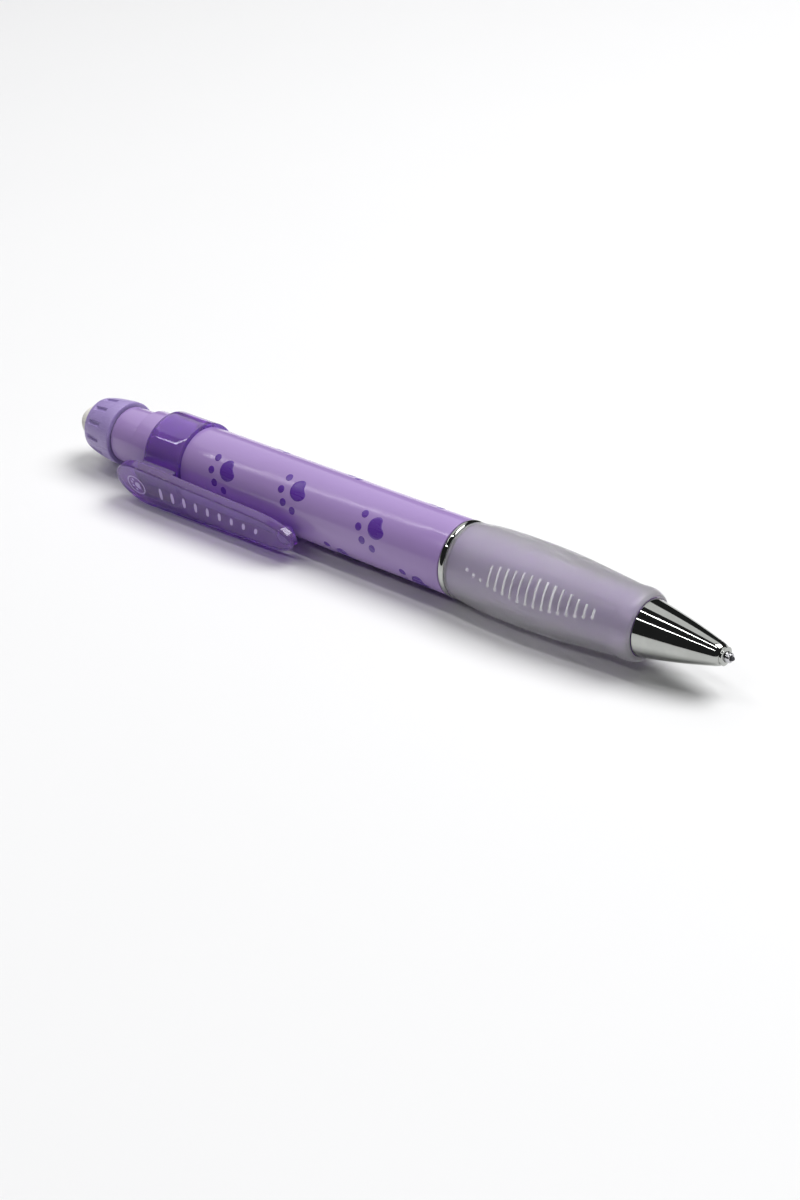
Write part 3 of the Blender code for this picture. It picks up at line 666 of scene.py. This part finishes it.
def make_nose():
    """The plated cone with its lip, the guide tube in its mouth and the lead in use."""
    length = cone_front - cone_rear
    base = width("nose_cone")
    tip = 1.55 * mm
    swell = 0.22 * mm
    steps = 24
    lip_share = 0.955
    outer = [(cone_rear + 0.1 * mm, base)]
    for step in range(1, steps):
        share = step / steps * lip_share
        radius = base + (tip - base) * share + swell * math.sin(math.pi * share)
        outer.append((cone_rear + length * share, radius))
    lip = cone_rear + length * lip_share
    outer += [
        (lip, tip + 0.08 * mm),
        (lip + 0.1 * mm, tip - 0.08 * mm),
        (lip + 0.22 * mm, tip - 0.02 * mm),
        (cone_front - 0.12 * mm, tip - 0.05 * mm),
        (cone_front, tip - 0.35 * mm),
        (cone_front, guide_radius + seam),
    ]
    retainer_rear, retainer_front = ends("lead_retainer")
    chamber, room = retainer_rear - slide, retainer_front + slide
    clutch_front = ends("clutch_ring")[1] + 1.3 * mm
    spigot_room = spigot_front + 0.3 * mm
    retainer_bore = 1.5 * mm
    chuck_bore = 1.95 * mm
    clutch_bore = 2.5 * mm
    spigot_bore = 3.7 * mm
    inner = [
        (room, guide_radius + seam),
        (room, retainer_bore),
        (chamber, retainer_bore),
        (chamber, chuck_bore),
        (clutch_front, chuck_bore),
        (clutch_front, clutch_bore),
        (spigot_room, clutch_bore),
        (spigot_room, spigot_bore),
        (cone_rear, spigot_bore),
        (cone_rear, base - 0.1 * mm),
    ]
    cone = lathe("nose_cone_plated", outer + inner, chrome, 180)
    guide_rear, guide_front = ends("lead_guide")
    bore = lead_radius + 0.1 * mm
    tube = [(guide_rear, guide_radius), (guide_front, guide_radius)]
    tube += [(guide_front, bore), (guide_rear, bore)]
    guide = lathe("lead_guide_tube", eased(tube, 0.16 * mm, 5, closed=True), steel, 64)
    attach(cone, "pen_body")
    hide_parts("nose_cone")
    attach(guide, "pen_body")
    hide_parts("lead_guide")
    lead_rear, lead_front = ends("lead")
    worn = [
        (lead_rear, 0),
        (lead_rear, lead_radius),
        (lead_front - 0.2 * mm, lead_radius),
        (lead_front - 0.03 * mm, 0.6 * lead_radius),
        (lead_front, 0.3 * lead_radius),
        (lead_front, 0),
    ]
    lead = lathe("writing_lead_rod", divided(worn, 4 * mm), graphite, 32)
    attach(lead, "writing_lead")
    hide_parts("lead")


# ---------------------------------------------------------------- button, knob and eraser


def make_push_tube():
    """The tube between knob and barrel, slotted where the eraser's carrier runs."""
    tube_rear, front = ends("push_sleeve")
    rear = tube_rear + 0.05 * mm
    socket = 2.85 * mm
    waist = 3.45 * mm
    socket_rear = front - 5.5 * mm
    outline = [
        (rear, sleeve_radius),
        (socket_rear + mm, sleeve_radius),
        (socket_rear + 2.5 * mm, waist),
        (front, waist),
        (front, socket),
        (socket_rear, socket),
        (socket_rear, sleeve_bore),
        (rear, sleeve_bore),
    ]
    outline = eased(outline, 0.12 * mm, closed=True)
    tube = lathe("push_tube_body", divided(outline, longest_wall, True), lilac)
    pip_x = ends("eraser_carrier")[1] - mm
    track_middle = pip_x - 6 * mm
    half = 0.6 * mm
    track = (18 * mm + 2 * half, 2 * half, 2.2 * mm)
    bm = bmesh.new()
    bmesh.ops.create_cube(bm, size=1.0)
    bmesh.ops.scale(bm, vec=track, verts=bm.verts)
    bmesh.ops.translate(bm, vec=(track_middle, axis_y, axis_z - sleeve_radius), verts=bm.verts)
    boolean(tube, object_of(bm, "pip_track", lilac), "DIFFERENCE")
    tube = baked(tube, "push_tube", lilac)
    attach(tube, "push_unit")
    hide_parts("push_sleeve")


def make_knob():
    """A tapered cap with twelve short flutes from its rear edge."""
    length = knob_front - knob_rear
    rear_radius = 5.0 * mm
    swell = knob_radius - rear_radius
    hole = eraser_radius + 0.18 * mm
    cavity = sleeve_bore
    cavity_rear = knob_rear + 1.3 * mm
    outline = [
        (knob_rear, rear_radius - 0.1 * mm),
        (knob_rear + 0.25 * length, rear_radius + 0.38 * swell),
        (knob_rear + 0.5 * length, rear_radius + 0.7 * swell),
        (knob_rear + 0.78 * length, rear_radius + 0.95 * swell),
        (knob_front - 0.4 * mm, knob_radius),
        (knob_front, knob_radius - 0.03 * mm),
        (knob_front, cavity),
        (cavity_rear, cavity),
        (cavity_rear, hole),
        (knob_rear, hole),
    ]
    outline = eased(outline, 0.28 * mm, 5, closed=True)
    outline = divided_where(outline, 0.15 * mm, rear_radius - 0.4 * mm)
    pitch = 30
    first_flute = 3.5
    flute_rear, flute_front = knob_rear + 0.9 * mm, knob_rear + 4.4 * mm
    rear_ramp, front_ramp = 0.5 * mm, 0.3 * mm
    flute_half = 0.48 * mm
    flute_depth = 0.42 * mm

    def flutes(x, radius, angle):
        if radius < rear_radius - 0.35 * mm or not flute_rear < x < flute_front:
            return 0.0
        off = math.radians((angle - first_flute + pitch / 2) % pitch - pitch / 2) * radius
        across = max(0.0, 1 - (off / flute_half) ** 4)
        end = min(1.0, (flute_front - x) / front_ramp, (x - flute_rear) / rear_ramp)
        return -flute_depth * across * end

    knob = lathe("twist_knob_cap", outline, knob_lilac, 420, flutes)
    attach(knob, "twist_unit")
    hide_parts("twist_knob")


def make_eraser():
    """The eraser, with a soft edge and an uneven rubbed end."""
    rear, front = ends("eraser")
    outline = [(rear, 0), (rear, eraser_radius), (front, eraser_radius), (front, 0)]
    outline = divided(eased(outline, 0.75 * mm, 7), 0.35 * mm)
    worn_length = 1.6 * mm

    def worn(x, radius, angle):
        near = max(0.0, 1 - (x - rear) / worn_length)
        turn = math.radians(angle)
        uneven = 1 + math.sin(2 * turn + 0.6) + 0.5 * math.sin(5 * turn)
        return -near * 0.11 * mm * uneven * min(1.0, radius / mm)

    eraser = lathe("eraser_stick", outline, eraser_white, 96, worn)
    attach(eraser, "eraser_unit")
    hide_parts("eraser")


def make_spring():
    """The return spring, with closed end coils.
    """
    rear, front = ends("chuck_spring")
    wire = 0.2 * mm
    coil = width("chuck_spring") - wire
    turns = 9
    steps = turns * 24
    closed_up = 0.085
    curve = bpy.data.curves.new("return_spring", "CURVE")
    curve.dimensions = "3D"
    curve.bevel_depth = wire
    curve.bevel_resolution = 3
    curve.use_fill_caps = True
    spline = curve.splines.new("POLY")
    spline.points.add(steps)
    for step, point in enumerate(spline.points):
        share = step / steps
        along = share - closed_up * math.sin(2 * math.pi * share)
        x = rear + wire + (front - rear - 2 * wire) * along
        point.co = (*about(x, coil, 360 * turns * share), 1.0)
    spring = baked(placed("return_spring_line", curve), "return_spring", steel)
    bm = bmesh.new()
    bm.from_mesh(spring.data)
    bmesh.ops.remove_doubles(bm, verts=bm.verts, dist=1e-6)
    bm.to_mesh(spring.data)
    bm.free()
    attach(spring, "pen_body")
    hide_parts("chuck_spring")
    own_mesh(spring)


# ---------------------------------------------------------------- clip

clip_side = Vector((0, clip_out.z, -clip_out.y))
clip_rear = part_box("clip_collar")[0].x
clip_front = ends("clip_arm")[1]
clip_underside = clip_face - 1.8 * mm
rear_round, tip_round = 6.5 * mm, 9.0 * mm
rear_half_width, tip_half_width = 4.6 * mm, 3.5 * mm
taper_rear, taper_front = clip_rear + rear_round, clip_front - tip_round


def on_clip(x, side, height):
    """A point from the pencil's axis, across the clip and out along it."""
    return Vector((x, axis_y, axis_z)) + clip_side * side + clip_out * height


def clip_outline(inset):
    """The clip's outline drawn in by that much, as (x, side) from its rear point all round."""
    end_steps, taper_steps = 20, 40
    side = []
    for step in range(end_steps):
        turn = math.pi / 2 * step / end_steps
        x = clip_rear + rear_round * (1 - math.cos(turn))
        side.append((x, rear_half_width * math.sin(turn)))
    for step in range(taper_steps):
        share = step / taper_steps
        half = rear_half_width + (tip_half_width - rear_half_width) * share
        side.append((taper_rear + (taper_front - taper_rear) * share, half))
    for step in range(end_steps):
        turn = math.pi / 2 * step / end_steps
        x = taper_front + tip_round * math.sin(turn)
        side.append((x, tip_half_width * math.cos(turn)))
    far_side = [(x, -half) for x, half in reversed(side[1:])]
    loop = [Vector(point) for point in (*side, (clip_front, 0), *far_side)]
    drawn_in = []
    for before, point, after in zip([loop[-1], *loop], loop, [*loop[1:], loop[0]]):
        along = (after - before).normalized()
        drawn_in.append(point + Vector((along.y, -along.x)) * inset)
    return drawn_in


def clip_plate(name, profile, cut_at=None):
    """A solid with the clip's outline. profile lists (drawn in, height).

    Where cut_at is given, the solid is cut off square behind that x.
    """
    bm = bmesh.new()
    rings = []
    for inset, height in profile:
        ring = clip_outline(inset)
        if cut_at is not None:
            for point in ring:
                point.x = max(point.x, cut_at)
        rings.append([bm.verts.new(on_clip(x, side, height)) for x, side in ring])
    count = len(rings[0])
    for first, second in zip(rings, rings[1:]):
        for step in range(count):
            ahead = (step + 1) % count
            bm.faces.new((first[step], first[ahead], second[ahead], second[step]))
    for ring in (rings[0], rings[-1]):
        for step in range(count // 2):
            corners = [ring[step], ring[step + 1], ring[-step - 1], ring[-step]]
            bm.faces.new(list(dict.fromkeys(corners)))
    return object_of(bm, name, violet)


def clip_profile():
    """The plate's rounded edges, from its underside to its face."""
    rounding, flat = 0.32 * mm, 0.3 * mm
    steps = 4
    profile = [(rounding + flat, clip_underside)]
    for height, start in ((clip_underside + rounding, 0), (clip_face - rounding, 90)):
        for step in range(steps + 1):
            turn = math.radians(start + 90 * step / steps)
            inset = rounding * (1 - math.sin(turn))
            profile.append((inset, height - rounding * math.cos(turn)))
    return [*profile, (rounding + flat, clip_face)]


def bend_clip(piece):
    """Bakes the piece's placement into its mesh."""
    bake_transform(piece)


def make_clip():
    """One clear moulding: collar, web, arm and foot."""
    bore = neck_radius + 0.12 * mm
    front = collar_front + 0.05 * mm
    ring = [(collar_rear, collar_radius), (front, collar_radius)]
    ring += [(front, bore), (collar_rear, bore)]
    ring = divided(eased(ring, 0.1 * mm, 4, closed=True), 2 * mm, True)
    collar = lathe("clip_collar_ring", ring, violet, 180)

    web_inset = 0.25 * mm
    web_width = 6 * mm
    web_rear, web_front = collar_rear + web_inset, collar_front - web_inset
    web_low, web_high = bore + 0.35 * mm, clip_underside + 0.4 * mm
    bm = bmesh.new()
    bmesh.ops.create_cube(bm, size=1.0)
    for vert in bm.verts:
        x = web_front if vert.co.x > 0 else web_rear
        height = web_high if vert.co.z > 0 else web_low
        vert.co = on_clip(x, web_width * vert.co.y, height)
    web = object_of(bm, "clip_web", violet)

    plate = clip_plate("clip_arm_plate", clip_profile())
    wall = 0.9 * mm
    hollow_top = clip_face - 0.95 * mm
    hollow = [(wall, clip_underside - mm), (wall, hollow_top)]
    hollow = clip_plate("clip_hollow", hollow, cut_at=collar_front + 2.3 * mm)

    foot_radius = 1.5 * mm
    foot_x = clip_front - 2.6 * mm
    foot_height = barrel_radius + 0.3 * mm + foot_radius
    bm = bmesh.new()
    bmesh.ops.create_uvsphere(bm, u_segments=40, v_segments=24, radius=foot_radius)
    bmesh.ops.translate(bm, vec=on_clip(foot_x, 0, foot_height), verts=bm.verts)
    foot = object_of(bm, "clip_foot", violet)

    boolean(plate, hollow, "DIFFERENCE")
    for part in (foot, web, collar):
        boolean(plate, part, "UNION")
    clip = baked(plate, "clip_moulding", violet)
    bend_clip(clip)
    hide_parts("clip_collar", "clip_arm")


def stroke_outline(half, slant):
    """A slim stroke across the clip with rounded ends, leaning by slant at either end."""
    thickness, squareness = 0.36 * mm, 0.8
    steps = 24
    outline = []
    for step in range(steps):
        turn = 2 * math.pi * step / steps
        along = thickness * math.copysign(abs(math.cos(turn)) ** squareness, math.cos(turn))
        across = half * math.copysign(abs(math.sin(turn)) ** squareness, math.sin(turn))
        outline.append((along + slant * across / half, across))
    return outline


def make_clip_print():
    """A generic print on the clip: a ringed paw at the rear and a row of slanted strokes."""
    bm = bmesh.new()
    upper, lower = clip_face + 0.03 * mm, clip_face - 0.04 * mm

    def loop(x, side, outline, height):
        points = [on_clip(x + along, side + across, height) for along, across in outline]
        return [bm.verts.new(point) for point in points]

    def film(x, side, outline, hole=None):
        """A closed film of ink, open in the middle where it has a hole."""
        top, low = loop(x, side, outline, upper), loop(x, side, outline, lower)
        if hole:
            inner_top, inner_low = loop(x, side, hole, upper), loop(x, side, hole, lower)
        else:
            bm.faces.new(top)
            bm.faces.new(low)
        count = len(outline)
        for step in range(count):
            ahead = (step + 1) % count
            bm.faces.new((top[step], top[ahead], low[ahead], low[step]))
            if hole:
                bm.faces.new((inner_top[step], inner_top[ahead], inner_low[ahead], inner_low[step]))
                bm.faces.new((top[step], top[ahead], inner_top[ahead], inner_top[step]))
                bm.faces.new((low[step], low[ahead], inner_low[ahead], inner_low[step]))

    badge = clip_rear + 5.0 * mm
    film(badge, 0, circle(2.1 * mm, 48), circle(1.85 * mm, 48))
    paw_x, paw_size = badge + 0.4 * mm, 0.38 * mm
    film(paw_x, 0, pad_outline(paw_size))
    for along, across in toe_places(paw_size):
        film(paw_x + along, across, circle(0.26 * mm, 16))
    strokes = 9
    first, pitch = 6.2, 2.9  # millimetres from the badge
    for number in range(strokes):
        half = (1.45 - 0.09 * number) * mm
        film(badge + (first + pitch * number) * mm, 0, stroke_outline(half, 0.35 * mm))
    prints = object_of(bm, "clip_print", pale_ink)
    bend_clip(prints)


# ---------------------------------------------------------------- the CAD pieces inside


def finish_inner_pieces():
    inner = {
        "chuck": brass,
        "clutch_ring": brass,
        "chuck_bush": white_plastic,
        "chuck_connector": white_plastic,
        "lead_tube": white_plastic,
        "spiral_tube": white_plastic,
        "eraser_carrier": white_plastic,
        "lead_retainer": black_rubber,
        "spare_lead_1": graphite,
        "spare_lead_2": graphite,
    }
    for node, finish in inner.items():
        materials = frame["nodes"][node].data.materials
        materials.clear()
        materials.append(finish)


# ---------------------------------------------------------------- floor, light and camera


def make_floor():
    reach = 1.2
    corners = [(-reach, -reach), (reach, -reach), (reach, reach), (-reach, reach)]
    bm = bmesh.new()
    bm.faces.new([bm.verts.new((x, y, 0)) for x, y in corners])
    finish = Finish("floor", Specular_IOR_Level=0.2)
    finish.colour(finish.mixed(finish.clouds(0.25), (0.87, 0.87, 0.875), (0.855, 0.855, 0.86)))
    finish.roughness(finish.noise(0.02), 0.75, 0.85)
    floor = object_of(bm, "floor", finish.material)


def add_light(name, place, size, power, along=(1, 0, 0)):
    """A rectangular light facing the pencil, its first side as near as can be to along."""
    light = bpy.data.lights.new(name, "AREA")
    light.shape = "RECTANGLE"
    light.size, light.size_y = size
    light.energy = power
    facing = Vector(place).normalized()
    side = Vector(along)
    side = (side - facing * side.dot(facing)).normalized()
    turn = Matrix((side, facing.cross(side), facing)).transposed().to_4x4()
    placed(name, light).matrix_world = Matrix.Translation(place) @ turn


def light_scene():
    """A lamp behind the lead end, a window beyond the eraser, tubes overhead, a dark room."""
    world = bpy.data.worlds.new("studio")
    world.use_nodes = True
    background = world.node_tree.nodes["Background"]
    background.inputs["Color"].default_value = (0.95, 0.97, 1.0, 1.0)
    background.inputs["Strength"].default_value = 0.025
    bpy.context.scene.world = world
    add_light("lamp", (0.35, 0.36, 0.9), (0.6, 0.6), 9.7)
    add_light("window", (-0.56, 0.32, 0.62), (0.55, 1.0), 1.5)
    add_light("window_edge", (-0.5, -0.18, 0.59), (0.4, 0.022), 0.28, (-0.45, -0.77, -0.45))
    add_light("ceiling", (-0.18, 0.5, 0.9), (0.4, 0.6), 0.7)
    add_light("tube_over", (-0.1, -0.1, 0.85), (0.7, 0.035), 1.2)
    add_light("tube_front", (-0.07, -0.5, 0.66), (0.7, 0.02), 0.8)
    bpy.context.scene.view_settings.view_transform = "Standard"


def add_camera():
    data = bpy.data.cameras.new("camera")
    data.lens = 68.2
    data.sensor_width = 36
    data.clip_start = 0.01
    data.clip_end = 10
    camera = placed("camera", data)
    camera.location = (0.22817, -0.23282, 0.190878)
    camera.rotation_euler = [math.radians(angle) for angle in (58.699, 4.053, 41.271)]
    bpy.context.scene.camera = camera


make_barrel()
make_paw_prints()
make_trim_ring()
make_grip()
make_nose()
make_push_tube()
make_knob()
make_eraser()
make_spring()
make_clip()
make_clip_print()
finish_inner_pieces()
make_floor()
light_scene()
add_camera()
